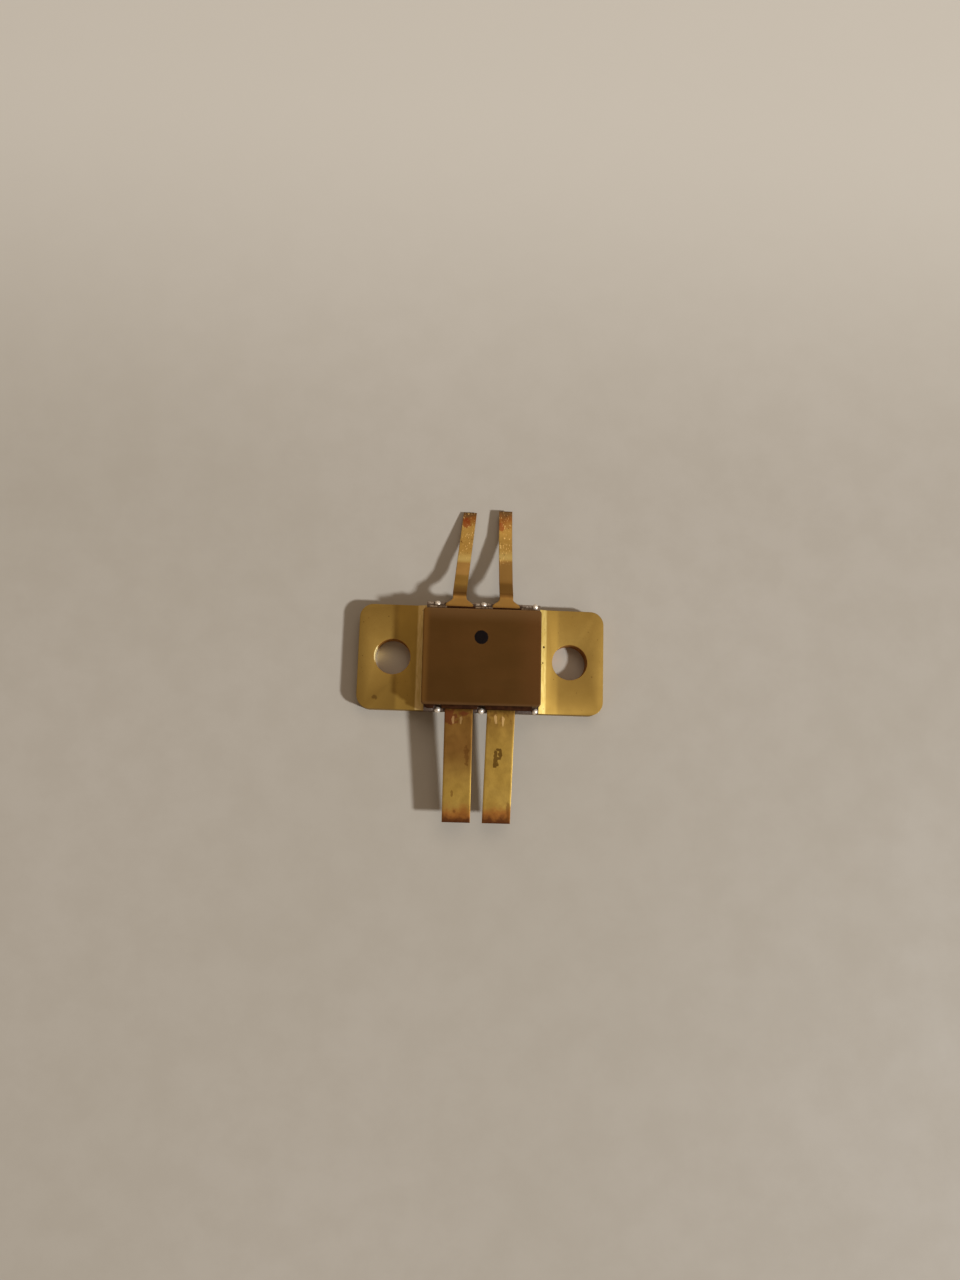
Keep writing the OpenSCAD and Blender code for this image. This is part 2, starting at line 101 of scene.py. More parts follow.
class Finish:
    """A node material in the making: its shader and the helpers that feed it."""

    def __init__(self, name, metallic, roughness, **shader_values):
        self.material = bpy.data.materials.new(name)
        self.material.use_nodes = True
        self.nodes = self.material.node_tree.nodes
        self.links = self.material.node_tree.links
        self.shader = self.nodes["Principled BSDF"]
        self.shader.inputs["Metallic"].default_value = metallic
        self.shader.inputs["Roughness"].default_value = roughness
        for socket, value in shader_values.items():
            self.shader.inputs[socket.replace("_", " ")].default_value = value
        place = self.nodes.new("ShaderNodeTexCoord").outputs["Object"]
        self.place = self.vector("MULTIPLY", place, (1 / MM, 1 / MM, 1 / MM))

    def put(self, socket, value):
        if isinstance(value, bpy.types.NodeSocket):
            self.links.new(value, socket)
        else:
            socket.default_value = value

    def vector(self, operation, a, b):
        node = self.nodes.new("ShaderNodeVectorMath")
        node.operation = operation
        self.put(node.inputs[0], a)
        self.put(node.inputs[1], b)
        return node.outputs[0]

    def math(self, operation, a, b=0.0, c=0.0, clamp=False):
        node = self.nodes.new("ShaderNodeMath")
        node.operation = operation
        node.use_clamp = clamp
        for socket, value in zip(node.inputs, (a, b, c)):
            self.put(socket, value)
        return node.outputs[0]

    def axis(self, name):
        node = self.nodes.new("ShaderNodeSeparateXYZ")
        self.put(node.inputs[0], self.place)
        return node.outputs[name]

    def noise(self, per_mm, detail=3.0, rough=0.5, stretch=(1, 1, 1), shift=(0, 0, 0), warp=0.0):
        """Noise from 0 to 1 with that many features to the millimetre, stretched along an axis."""
        scaled = self.vector("MULTIPLY", self.place, tuple(per_mm * s for s in stretch))
        node = self.nodes.new("ShaderNodeTexNoise")
        self.put(node.inputs["Vector"], self.vector("ADD", scaled, shift))
        node.inputs["Scale"].default_value = 1.0
        node.inputs["Detail"].default_value = detail
        node.inputs["Roughness"].default_value = rough
        node.inputs["Distortion"].default_value = warp
        return node.outputs["Fac"]

    def ramp(self, value, low, high, start=0.0, end=1.0):
        """Maps low..high smoothly to start..end and holds outside it."""
        node = self.nodes.new("ShaderNodeMapRange")
        node.interpolation_type = "SMOOTHSTEP"
        for socket, number in zip(node.inputs, (value, low, high, start, end)):
            self.put(socket, number)
        return node.outputs[0]

    def mix(self, share, a, b):
        node = self.nodes.new("ShaderNodeMix")
        node.data_type = "RGBA"
        self.put(node.inputs["Factor"], share)
        self.put(node.inputs["A"], a)
        self.put(node.inputs["B"], b)
        return node.outputs["Result"]

    def attribute(self, name):
        node = self.nodes.new("ShaderNodeAttribute")
        node.attribute_name = name
        return node.outputs["Fac"]

    def spot(self, x, y, radius_x, radius_y, ragged=0.35, per_mm=3.0):
        """1 inside an uneven oval on the XY plane, falling to 0 at its rim."""
        moved = self.vector("SUBTRACT", self.place, (x, y, 0))
        scaled = self.vector("MULTIPLY", moved, (1 / radius_x, 1 / radius_y, 0))
        length = self.nodes.new("ShaderNodeVectorMath")
        length.operation = "LENGTH"
        self.put(length.inputs[0], scaled)
        wobble = self.ramp(self.noise(per_mm, 2.0), 0.2, 0.8, -ragged, ragged)
        distance = self.math("ADD", length.outputs["Value"], wobble)
        return self.ramp(distance, 0.75, 1.05, 1.0, 0.0)

    def edge(self, radius_mm, low=0.02, high=0.25):
        """1 along the sharp edges of the piece, 0 on its faces."""
        bevel = self.nodes.new("ShaderNodeBevel")
        bevel.samples = 4
        bevel.inputs["Radius"].default_value = radius_mm * MM
        plain = self.nodes.new("ShaderNodeNewGeometry").outputs["Normal"]
        dot = self.nodes.new("ShaderNodeVectorMath")
        dot.operation = "DOT_PRODUCT"
        self.put(dot.inputs[0], bevel.outputs[0])
        self.put(dot.inputs[1], plain)
        return self.ramp(self.math("SUBTRACT", 1.0, dot.outputs["Value"]), low, high)

    def bump(self, height, distance_mm, strength=1.0):
        node = self.nodes.new("ShaderNodeBump")
        node.inputs["Strength"].default_value = strength
        node.inputs["Distance"].default_value = distance_mm * MM
        self.put(node.inputs["Height"], height)
        if self.shader.inputs["Normal"].is_linked:
            self.put(node.inputs["Normal"], self.shader.inputs["Normal"].links[0].from_socket)
        self.links.new(node.outputs[0], self.shader.inputs["Normal"])

    def done(self, colour, roughness=None):
        self.put(self.shader.inputs["Base Color"], colour)
        if roughness is not None:
            self.put(self.shader.inputs["Roughness"], roughness)
        return self.material


def gold_plate():
    """Matte gold plating of the flange: cloudy, finely grained, with painted light on the pad, its slopes and the
    band beside them, painted glints on nicked rims and painted shade towards the front.
    """
    f = Finish("gold_plate", 1.0, 0.5)
    reach = f.math("ABSOLUTE", f.axis("X"))
    cloud = f.noise(0.35, 4.0)
    colour = f.mix(f.ramp(cloud, 0.3, 0.7), srgb(154, 122, 60), srgb(162, 130, 66))
    grain = f.noise(9.0, 4.0, 0.6)
    colour = f.mix(f.ramp(grain, 0.3, 0.75, 0.0, 0.2), colour, srgb(136, 104, 50))
    # Painted shade: the ears are painted darker towards the front.
    front = f.math("MULTIPLY", f.ramp(f.axis("Y"), -4.0, -0.5, 1.0, 0.0), 0.8)
    colour = f.mix(front, colour, srgb(146, 114, 54))
    top = f.ramp(f.axis("Z"), 1.35, 1.5)
    # Painted light: a lighter band on the ear beside each slope of the pad, reaching 0.7 mm further on the left.
    past_band = f.math("ADD", reach, f.ramp(f.axis("X"), -1.0, 1.0, -0.7, 0.0))
    band = f.math("MULTIPLY", top, f.ramp(past_band, 6.9, 7.35, 1.0, 0.0))
    colour = f.mix(band, colour, srgb(171, 137, 67))
    # Painted highlight: the pad's slopes are painted much lighter than the ears, a little pinker on the left.
    streaks = f.ramp(f.noise(2.5, 3.0, 0.6, stretch=(3, 0.4, 1)), 0.35, 0.65)
    slope_right = f.mix(streaks, srgb(200, 172, 95), srgb(216, 191, 118))
    slope_left = f.mix(streaks, srgb(202, 170, 102), srgb(218, 188, 128))
    slope = f.mix(f.ramp(f.axis("X"), -1.0, 1.0), slope_left, slope_right)
    colour = f.mix(f.math("MULTIPLY", top, f.ramp(reach, 5.95, 6.12, 1.0, 0.0)), colour, slope)
    edge = f.edge(0.08)
    colour = f.mix(f.math("MULTIPLY", edge, 0.6), colour, srgb(204, 172, 100))
    # Painted glints: near-white specks along the rims where they are nicked.
    glinting_nicks = f.ramp(f.noise(2.2, 3.0, 0.6, shift=(1, 6, 4)), 0.6, 0.68)
    colour = f.mix(f.math("MULTIPLY", edge, glinting_nicks), colour, srgb(250, 226, 166))
    pits = f.ramp(f.noise(4.2, 2.0, 0.4, shift=(7, 3, 1)), 0.73, 0.78)
    colour = f.mix(pits, colour, srgb(92, 60, 28))
    specks = f.math("MAXIMUM", f.spot(5.8, 1.35, 0.11, 0.12), f.spot(5.72, -0.15, 0.06, 0.08))
    colour = f.mix(specks, colour, srgb(60, 38, 18))
    smudge = f.math("MULTIPLY", f.spot(-9.75, -3.85, 0.3, 0.2, 0.5), 0.7)
    colour = f.mix(smudge, colour, srgb(104, 74, 34))
    roughness = f.ramp(f.noise(1.1, 4.0), 0.3, 0.7, 0.6, 0.64)
    roughness = f.math("SUBTRACT", roughness, f.math("MULTIPLY", edge, 0.25))
    folded = f.nodes.new("ShaderNodeCombineXYZ")
    f.put(folded.inputs[0], f.math("SUBTRACT", reach, HOLE_X))
    f.put(folded.inputs[1], f.axis("Y"))
    distance = f.nodes.new("ShaderNodeVectorMath")
    distance.operation = "LENGTH"
    f.put(distance.inputs[0], folded.outputs[0])
    wall = f.ramp(distance.outputs["Value"], HOLE_RADIUS + 0.01, HOLE_RADIUS + 0.03, 1.0, 0.0)
    colour = f.mix(wall, colour, srgb(166, 116, 50))
    f.put(f.shader.inputs["Metallic"], f.math("SUBTRACT", 1.0, f.math("MULTIPLY", wall, 0.25)))
    rim = f.ramp(distance.outputs["Value"], HOLE_RADIUS + 0.02, HOLE_RADIUS + 0.09, 1.0, 0.0)
    glint = f.math("MULTIPLY", rim, f.spot(-9.95, 0.3, 0.4, 1.0, 0.2))
    colour = f.mix(glint, colour, srgb(255, 232, 170))
    f.bump(f.noise(22.0, 3.0), 0.003)
    f.bump(f.noise(0.8, 3.0), 0.01, 0.3)
    return f.done(colour, roughness)


def lid_gold():
    """Satin lid painted dark brown, with faint streaks along its length and a painted sheen towards and along its
    rims.
    """
    f = Finish("lid_gold", 1.0, 0.4)
    streak = f.noise(0.8, 3.0, 0.5, stretch=(0.3, 0.9, 1.0))
    # Painted shade: the gold is written as dark brown, standing in for the dark reflection of the flat lid.
    colour = f.mix(f.ramp(streak, 0.3, 0.7), srgb(92, 64, 32), srgb(97, 67, 34))
    cloud = f.noise(0.3, 3.0, shift=(2, 5, 0))
    colour = f.mix(f.ramp(cloud, 0.35, 0.7, 0.0, 0.6), colour, srgb(88, 61, 29))
    grain = f.noise(14.0, 3.0, 0.6)
    colour = f.mix(f.ramp(grain, 0.3, 0.8, 0.0, 0.2), colour, srgb(80, 54, 26))
    # Painted sheen: the lid is painted lighter towards its right, back, left and front rims.
    right = f.ramp(f.axis("X"), 2.6, 5.0, 0.0, 0.55)
    colour = f.mix(right, colour, srgb(108, 72, 40))
    back = f.ramp(f.axis("Y"), 2.9, 4.2, 0.0, 0.6)
    colour = f.mix(back, colour, srgb(118, 88, 56))
    left = f.ramp(f.axis("X"), -5.3, -4.75, 1.0, 0.0)
    colour = f.mix(left, colour, srgb(116, 82, 41))
    front = f.ramp(f.axis("Y"), -4.45, -4.15, 0.8, 0.0)
    colour = f.mix(front, colour, srgb(112, 82, 52))
    # Painted highlight along the lid's rim edges.
    colour = f.mix(f.math("MULTIPLY", f.edge(0.08), 0.7), colour, srgb(150, 116, 70))
    roughness = f.ramp(f.noise(0.5, 3.0), 0.3, 0.7, 0.42, 0.46)
    f.bump(f.noise(26.0, 3.0), 0.002)
    f.bump(streak, 0.004, 0.2)
    return f.done(colour, roughness)


def lead_gold(name, light, dark, scorch, tip_start, tip_end):
    """Gold-plated lead: faintly grained along its length, burnt towards its tip."""
    f = Finish(name, 1.0, 0.42)
    cloud = f.noise(0.35, 3.0, 0.5)
    colour = f.mix(f.ramp(cloud, 0.3, 0.7), light, dark)
    grain = f.noise(9.0, 3.0, 0.6, stretch=(1.6, 0.5, 1.0))
    colour = f.mix(f.ramp(grain, 0.35, 0.75, 0.0, 0.16), colour, srgb(138, 96, 44))
    out = f.math("ABSOLUTE", f.axis("Y"))
    ragged = f.math("ADD", out, f.ramp(f.noise(1.3, 4.0, 0.6), 0.2, 0.8, -0.35, 0.35))
    burnt = f.ramp(ragged, tip_start, tip_end, 0.0, 0.85)
    colour = f.mix(burnt, colour, srgb(150, 88, 40))
    scorched = f.ramp(ragged, tip_end - 0.25, tip_end + 0.55, 0.0, 0.9)
    colour = f.mix(scorched, colour, scorch)
    colour = f.mix(f.math("MULTIPLY", f.attribute("rim"), 0.55), colour, srgb(200, 164, 96))
    roughness = f.math("ADD", f.ramp(f.noise(1.6, 3.0), 0.3, 0.7, 0.42, 0.48), f.math("MULTIPLY", burnt, 0.1))
    f.bump(f.noise(16.0, 3.0, stretch=(1.4, 0.5, 1.0)), 0.004)
    return f, colour, roughness


def wide_lead_gold():
    f, colour, roughness = lead_gold(
        "wide_lead_gold", srgb(190, 155, 77), srgb(184, 148, 70), srgb(84, 46, 26), 12.9, 14.3)
    # Painted shade: the left wide lead is painted darker towards its root, fading out towards its tip.
    left = f.ramp(f.axis("X"), -0.6, 0.4, 1.0, 0.0)
    shade = f.math("MULTIPLY", left, f.ramp(f.axis("Y"), -12.6, -8.0, 0.0, 1.0))
    colour = f.mix(shade, colour, srgb(138, 98, 48))
    # Painted shade: both wide leads are painted darker near their roots.
    near = f.ramp(f.axis("Y"), -9.0, -5.5, 0.0, 0.55)
    colour = f.mix(near, colour, srgb(146, 108, 51))
    patches = f.ramp(f.noise(1.8, 3.0, 0.6, stretch=(1.6, 0.8, 1), shift=(5, 2, 1)), 0.42, 0.6, 0.0, 0.55)
    dull = f.math("MULTIPLY", patches, f.ramp(f.axis("Y"), -6.6, -5.6))
    colour = f.mix(dull, colour, srgb(112, 74, 34))
    colour = f.mix(f.ramp(f.axis("Y"), -5.5, -4.9, 0.0, 0.5), colour, srgb(104, 72, 30))
    stain = f.math("MAXIMUM", f.spot(1.44, -9.0, 0.18, 0.8, 0.4), f.spot(1.84, -8.72, 0.19, 0.46, 0.4))
    stain = f.math("MAXIMUM", stain, f.spot(1.66, -8.34, 0.26, 0.14, 0.4))
    stain = f.math("MAXIMUM", stain, f.spot(1.62, -9.1, 0.34, 0.15, 0.4))
    stain = f.math("MAXIMUM", stain, f.spot(1.43, -9.66, 0.32, 0.27, 0.4))
    colour = f.mix(f.math("MULTIPLY", stain, 0.8), colour, srgb(88, 58, 22))
    faint = f.math("MAXIMUM", f.spot(-1.2, -8.9, 0.22, 0.9, 0.5), f.spot(-2.4, -12.4, 0.12, 0.3, 0.5))
    faint = f.math("MAXIMUM", faint, f.spot(-2.15, -13.9, 0.16, 0.16, 0.4))
    faint = f.math("MAXIMUM", faint, f.spot(2.75, -13.9, 0.25, 1.1, 0.4))
    colour = f.mix(f.math("MULTIPLY", faint, 0.5), colour, srgb(104, 62, 26))
    burn = f.math("MAXIMUM", f.spot(-2.9, -5.5, 0.75, 0.75, 0.5), f.spot(-1.6, -5.2, 0.6, 0.25, 0.5))
    colour = f.mix(f.math("MULTIPLY", burn, 0.7), colour, srgb(112, 56, 34))
    streaks = f.math("MAXIMUM", f.spot(1.35, -5.75, 0.14, 0.5, 0.4), f.spot(2.0, -5.75, 0.14, 0.5, 0.4))
    weaker = f.math("MAXIMUM", f.spot(-2.5, -5.75, 0.12, 0.35, 0.4), f.spot(-1.8, -5.75, 0.12, 0.4, 0.4))
    streaks = f.math("MAXIMUM", streaks, f.math("MULTIPLY", weaker, 0.6))
    colour = f.mix(f.math("MULTIPLY", streaks, 0.6), colour, srgb(238, 198, 134))
    return f.done(colour, roughness)


def narrow_lead_gold():
    f, colour, roughness = lead_gold(
        "narrow_lead_gold", srgb(186, 150, 80), srgb(176, 138, 70), srgb(116, 88, 56), 12.6, 13.9)
    right = f.ramp(f.axis("X"), -0.3, 0.3)
    # Painted shade: a darker band where the lead is steep, starting 0.7 mm sooner and ending 0.3 mm later on the
    # right lead.
    steep_start = f.math("MULTIPLY_ADD", right, -0.7, 7.85)
    steep_end = f.math("MULTIPLY_ADD", right, 0.3, 9.15)
    past_start = f.math("SUBTRACT", f.axis("Y"), steep_start)
    past_end = f.math("SUBTRACT", f.axis("Y"), steep_end)
    steep = f.math("MULTIPLY", f.ramp(past_start, -0.15, 0.15), f.ramp(past_end, -0.15, 0.15, 1.0, 0.0))
    colour = f.mix(steep, colour, srgb(161, 124, 68))
    # Painted highlight: a lighter band just past the steep part.
    bright = f.math("MULTIPLY", f.ramp(past_end, -0.1, 0.3), f.ramp(past_end, 0.35, 1.3, 1.0, 0.0))
    colour = f.mix(bright, colour, srgb(196, 169, 102))
    # Painted glints: near-white flecks in the grain further out.
    glinting_flecks = f.ramp(f.noise(5.0, 3.0, 0.6, stretch=(1.5, 0.6, 1)), 0.59, 0.68)
    far = f.ramp(f.axis("Y"), 8.5, 10.5)
    colour = f.mix(f.math("MULTIPLY", glinting_flecks, far), colour, srgb(246, 212, 140))
    pits = f.ramp(f.noise(4.0, 3.0, 0.6, shift=(4, 9, 2)), 0.64, 0.7)
    colour = f.mix(f.math("MULTIPLY", pits, far), colour, srgb(92, 52, 22))
    # Painted shade: the foot and the start of the drop are painted darker, to 6.2 mm out, 7 mm on the right lead.
    past_foot = f.math("SUBTRACT", f.axis("Y"), f.math("MULTIPLY_ADD", right, 0.8, 6.2))
    colour = f.mix(f.ramp(past_foot, 0.0, 0.6, 0.8, 0.0), colour, srgb(150, 110, 56))
    # Painted shade in the first bend, 5.5 to 6.15 mm out.
    fold = f.math("MULTIPLY", f.ramp(f.axis("Y"), 5.5, 5.75), f.ramp(f.axis("Y"), 5.9, 6.15, 1.0, 0.0))
    colour = f.mix(f.math("MULTIPLY", fold, 0.55), colour, srgb(92, 58, 28))
    burn = f.math("MAXIMUM", f.spot(-1.75, 13.35, 0.5, 0.55, 0.4), f.spot(1.6, 12.85, 0.35, 0.5, 0.4))
    colour = f.mix(f.math("MULTIPLY", burn, 0.65), colour, srgb(146, 62, 32))
    return f.done(colour, roughness)


def gold_film():
    """Thin gold metallisation of the lands and grounding bars, dull where it lies outside the frame."""
    f = Finish("gold_film", 1.0, 0.5)
    colour = f.mix(f.ramp(f.noise(3.0, 3.0), 0.3, 0.7), srgb(206, 164, 84), srgb(222, 182, 102))
    outside = f.ramp(f.math("ABSOLUTE", f.axis("Y")), 4.3, 4.45)
    colour = f.mix(outside, colour, srgb(74, 50, 30))
    f.put(f.shader.inputs["Metallic"], f.math("SUBTRACT", 1.0, f.math("MULTIPLY", outside, 0.8)))
    f.bump(f.noise(20.0, 3.0), 0.003)
    return f.done(colour, f.ramp(f.noise(6.0, 2.0), 0.3, 0.7, 0.42, 0.58))


def bond_wire():
    f = Finish("bond_wire", 1.0, 0.25)
    colour = f.mix(f.ramp(f.noise(8.0, 2.0), 0.3, 0.7), srgb(232, 192, 104), srgb(244, 208, 128))
    f.bump(f.noise(30.0, 2.0), 0.001)
    return f.done(colour, f.ramp(f.noise(12.0, 2.0), 0.3, 0.7, 0.2, 0.32))


def silver_braze():
    """Bright braze of the beads: smooth, with dull patches."""
    f = Finish("silver_braze", 0.55, 0.25)
    dull = f.ramp(f.noise(4.5, 3.0), 0.5, 0.7)
    colour = f.mix(dull, srgb(240, 226, 208), srgb(190, 168, 146))
    f.bump(f.noise(6.0, 3.0), 0.01)
    return f.done(colour, f.ramp(f.noise(3.0, 2.0, shift=(3, 1, 2)), 0.35, 0.65, 0.2, 0.34))


def flux_cast(f, colour):
    """Adds the speckled tan flux that covers the back of frame and glass beside the leads' feet."""
    reach = f.math("ABSOLUTE", f.axis("X"))
    foot = f.math("MULTIPLY", f.ramp(reach, 0.7, 0.85), f.ramp(reach, 3.35, 3.5, 1.0, 0.0))
    bare = f.math("MULTIPLY", f.ramp(f.axis("Y"), 4.0, 4.2), f.math("SUBTRACT", 1.0, foot))
    speckle = f.mix(f.ramp(f.noise(6.0, 3.0, 0.6), 0.4, 0.65), srgb(92, 72, 54), srgb(150, 126, 100))
    return f.mix(bare, colour, speckle)


def base_ceramic():
    """Grey-white beryllia, matte, with a fine sintered grain and a tan cast of flux."""
    f = Finish("base_ceramic", 0.0, 0.62)
    colour = f.mix(f.ramp(f.noise(2.0, 4.0), 0.35, 0.7), srgb(102, 82, 64), srgb(134, 112, 89))
    grain = f.ramp(f.noise(8.0, 3.0, 0.7), 0.52, 0.64, 0.0, 0.7)
    colour = f.mix(grain, colour, srgb(62, 46, 34))
    grit = f.ramp(f.noise(7.0, 3.0, 0.6, shift=(3, 8, 2)), 0.6, 0.68, 0.0, 0.8)
    colour = f.mix(grit, colour, srgb(206, 190, 168))
    front = f.ramp(f.axis("Y"), -4.2, -3.0, 0.75, 0.0)
    colour = f.mix(front, colour, srgb(60, 38, 26))
    f.bump(f.noise(20.0, 3.0), 0.006)
    return f.done(colour, f.ramp(f.noise(5.0, 2.0), 0.3, 0.7, 0.54, 0.7))


def frame_ceramic():
    """Dark brown alumina of the window frame."""
    f = Finish("frame_ceramic", 0.0, 0.6, Specular_IOR_Level=0.05)
    colour = f.mix(f.ramp(f.noise(1.6, 4.0), 0.35, 0.7), srgb(40, 17, 4), srgb(58, 30, 11))
    grain = f.ramp(f.noise(16.0, 3.0, 0.7), 0.5, 0.75, 0.0, 0.4)
    colour = flux_cast(f, f.mix(grain, colour, srgb(76, 46, 22)))
    f.bump(f.noise(18.0, 3.0), 0.005)
    return f.done(colour, f.ramp(f.noise(4.0, 2.0), 0.3, 0.7, 0.55, 0.7))


def dark_glass():
    """Devitrified sealing glass, brown-black and slightly glossy."""
    f = Finish("dark_glass", 0.0, 0.3, Specular_IOR_Level=0.25)
    colour = f.mix(f.ramp(f.noise(2.5, 4.0), 0.35, 0.7), srgb(38, 18, 7), srgb(58, 32, 16))
    colour = flux_cast(f, colour)
    f.bump(f.noise(5.0, 3.0), 0.008)
    return f.done(colour, f.ramp(f.noise(3.0, 2.0), 0.3, 0.7, 0.22, 0.4))


def silicon():
    """Polished silicon of the chips, with a faint grid of metal stripes."""
    f = Finish("silicon", 0.6, 0.25)
    stripes = f.math("PINGPONG", f.axis("X"), 0.06)
    colour = f.mix(f.ramp(stripes, 0.02, 0.04), srgb(92, 96, 108), srgb(196, 170, 110))
    f.bump(f.noise(14.0, 2.0), 0.001)
    return f.done(colour, f.ramp(f.noise(9.0, 2.0), 0.3, 0.7, 0.2, 0.34))


def marking_ink():
    """Black stamped ink, a little thin at its rim."""
    f = Finish("marking_ink", 0.0, 0.6, Specular_IOR_Level=0.06)
    thin = f.ramp(f.noise(9.0, 3.0), 0.5, 0.75, 0.0, 0.5)
    f.bump(f.noise(16.0, 3.0), 0.003)
    return f.done(f.mix(thin, srgb(14, 8, 8), srgb(34, 20, 13)), f.ramp(f.noise(8.0), 0.3, 0.7, 0.5, 0.65))


def table_top():
    """Pale matte table top, faintly mottled, with painted light making it a little paler far behind the object."""
    f = Finish("table_top", 0.0, 0.6, Specular_IOR_Level=0.3)
    wide = f.noise(0.02, 3.0)
    colour = f.mix(f.ramp(wide, 0.3, 0.7), srgb(175, 166, 154), srgb(171, 162, 149))
    fine = f.ramp(f.noise(0.25, 4.0, 0.6), 0.3, 0.7, 0.0, 0.3)
    colour = f.mix(fine, colour, srgb(162, 152, 138))
    # Painted light: the table is painted paler far behind the object.
    colour = f.mix(f.ramp(f.axis("Y"), 12, 60, 0.0, 0.9), colour, srgb(200, 192, 180))
    f.bump(f.noise(0.5, 3.0), 0.01, 0.3)
    return f.done(colour, f.ramp(f.noise(0.15, 3.0), 0.3, 0.7, 0.55, 0.65))


# Meshes

def add_object(name, mesh, material, *nodes):
    """A piece that rides on the body, stands for the given nodes and takes the slot's finish."""
    piece = bpy.data.objects.new(name, mesh)
    bpy.context.scene.collection.objects.link(piece)
    mesh.materials.clear()
    mesh.materials.append(material)
    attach(piece, BODY)
    if nodes:
        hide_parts(*nodes)
    return piece


def smooth(mesh, degrees=35):
    """Smooth shading, with edges sharper than the angle kept."""
    for polygon in mesh.polygons:
        polygon.use_smooth = True
    mesh.set_sharp_from_angle(angle=math.radians(degrees))


# Depth of the front part of a node that moves when its front is set back
FRONT_ZONE = 0.7


def softened_copy(name, node, width_mm, segments, material, front_set_back=0.0):
    """A copy of a CAD node with flat faces joined, sharp edges rounded and its front set back."""
    work = bmesh.new()
    work.from_mesh(frame["nodes"][node].data)
    front_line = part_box(node)[0].y + FRONT_ZONE * MM
    for vert in work.verts:
        if vert.co.y < front_line:
            vert.co.y += front_set_back * MM
    bmesh.ops.remove_doubles(work, verts=work.verts, dist=1e-7)
    bmesh.ops.dissolve_limit(
        work, angle_limit=math.radians(1.0), use_dissolve_boundaries=False,
        verts=work.verts, edges=work.edges,
    )
    mesh = bpy.data.meshes.new(name)
    work.to_mesh(mesh)
    work.free()
    piece = add_object(name, mesh, material, node)
    bevel = piece.modifiers.new("soft_edges", "BEVEL")
    bevel.width = width_mm * MM
    bevel.segments = segments
    bevel.limit_method = "ANGLE"
    bevel.angle_limit = math.radians(40)
    bevel.use_clamp_overlap = False
    bevel.harden_normals = False
    apply_modifiers(piece)
    smooth(piece.data, 30)
    return piece


def apply_modifiers(piece):
    graph = bpy.context.evaluated_depsgraph_get()
    mesh = bpy.data.meshes.new_from_object(piece.evaluated_get(graph))
    piece.modifiers.clear()
    old = piece.data
    piece.data = mesh
    bpy.data.meshes.remove(old)


def rounded_outline(length, depth, radius, steps):
    """Points of a rectangle with round corners, counter-clockwise, in millimetres."""
    points = []
    for corner in range(4):
        sign_x = (1, -1, -1, 1)[corner]
        sign_y = (1, 1, -1, -1)[corner]
        for i in range(steps + 1):
            angle = math.radians(90 * (corner + i / steps))
            points.append((
                sign_x * (length / 2 - radius) + radius * math.cos(angle),
                sign_y * (depth / 2 - radius) + radius * math.sin(angle),
            ))
    return points


LID_LENGTH = 10.77
LID_DEPTH = 8.81
LID_TURN = 0.5
LID_SHIFT = (0.08, -0.035)
LID_CORNER = 0.3
# How far the top of the plate stays below the node's top, which leaves room for the ink
LID_DROP = 0.006


def lid(material):
    """Plate with round corners, soft rims and an uneven top, set down askew."""
    low, high, middle = size_of("lid")
    length, depth = LID_LENGTH, LID_DEPTH
    corner = LID_CORNER
    rim = 0.05
    rim_steps = 4
    rings = []
    for i in range(rim_steps + 1):
        turn = math.radians(90 * i / rim_steps)
        rings.append((rim * (1 - math.sin(turn)), low.z + rim * (1 - math.cos(turn)) * 0.6))
    rings.append((0.0, high.z - rim))
    for i in range(1, rim_steps + 1):
        turn = math.radians(90 * i / rim_steps)
        rings.append((rim * (1 - math.cos(turn)), high.z - rim + rim * math.sin(turn)))
    inset_steps = 14
    for i in range(1, inset_steps):
        inset = rim + (depth / 2 - rim) * (i / inset_steps) ** 1.3
        rings.append((inset, high.z))
    work = bmesh.new()
    turn = Matrix.Rotation(math.radians(LID_TURN), 2)
    loops = []
    for inset, z in rings:
        outline = rounded_outline(length - 2 * inset, depth - 2 * inset, max(corner - inset, 0.02), 8)
        loop = []
        for x, y in outline:
            sag = -0.012 * noise.noise(Vector((x * 0.35, y * 0.35, 4.0))) if inset > rim else 0.0
            fade = min(1.0, max(0.0, inset - rim) / 0.6)
            dip = min(0.0, sag) * fade - LID_DROP * (inset > 0)
            point = middle.xy + Vector(LID_SHIFT) + turn @ Vector((x, y))
            loop.append(work.verts.new((point.x * MM, point.y * MM, (z + dip) * MM)))
        loops.append(loop)
    for lower, upper in zip(loops, loops[1:]):
        for i in range(len(lower)):
            j = (i + 1) % len(lower)
            work.faces.new((lower[i], lower[j], upper[j], upper[i]))
    work.faces.new(list(reversed(loops[0])))
    work.faces.new(loops[-1])
    mesh = bpy.data.meshes.new("lid_plate")
    work.to_mesh(mesh)
    work.free()
    piece = add_object("lid_plate", mesh, material, "lid")
    smooth(mesh, 60)
    return piece


# Leads: a middle line seen from the side, a plan, and a soft section along them

class Bend:
    """One bend of a lead: where it starts, its radius and the slope it ends at."""

    def __init__(self, start, radius, slope):
        self.start = start
        self.radius = radius
        self.slope = math.radians(slope)


LEAD_BENDS = {
    "collector_lead_left": [Bend(0.0, 10, 5)],
    "collector_lead_right": [Bend(0.0, 10, 5)],
    "base_lead_left": [Bend(0.3, 1.2, 40), Bend(1.6, 1, 24), Bend(2.7, 1.5, 10), Bend(3.8, 5, 14.5)],
    "base_lead_right": [Bend(0.45, 1.2, 32), Bend(1.8, 2, 19), Bend(4.1, 2, 14.5), Bend(6.6, 3, 6)],
}
# How far a lead sits outward from the middle of its land, and how far its tip drifts inward
LEAD_OFFSET = {
    "collector_lead_left": 0.12,
    "collector_lead_right": -0.1,
    "base_lead_left": 0.1,
    "base_lead_right": -0.11,
}
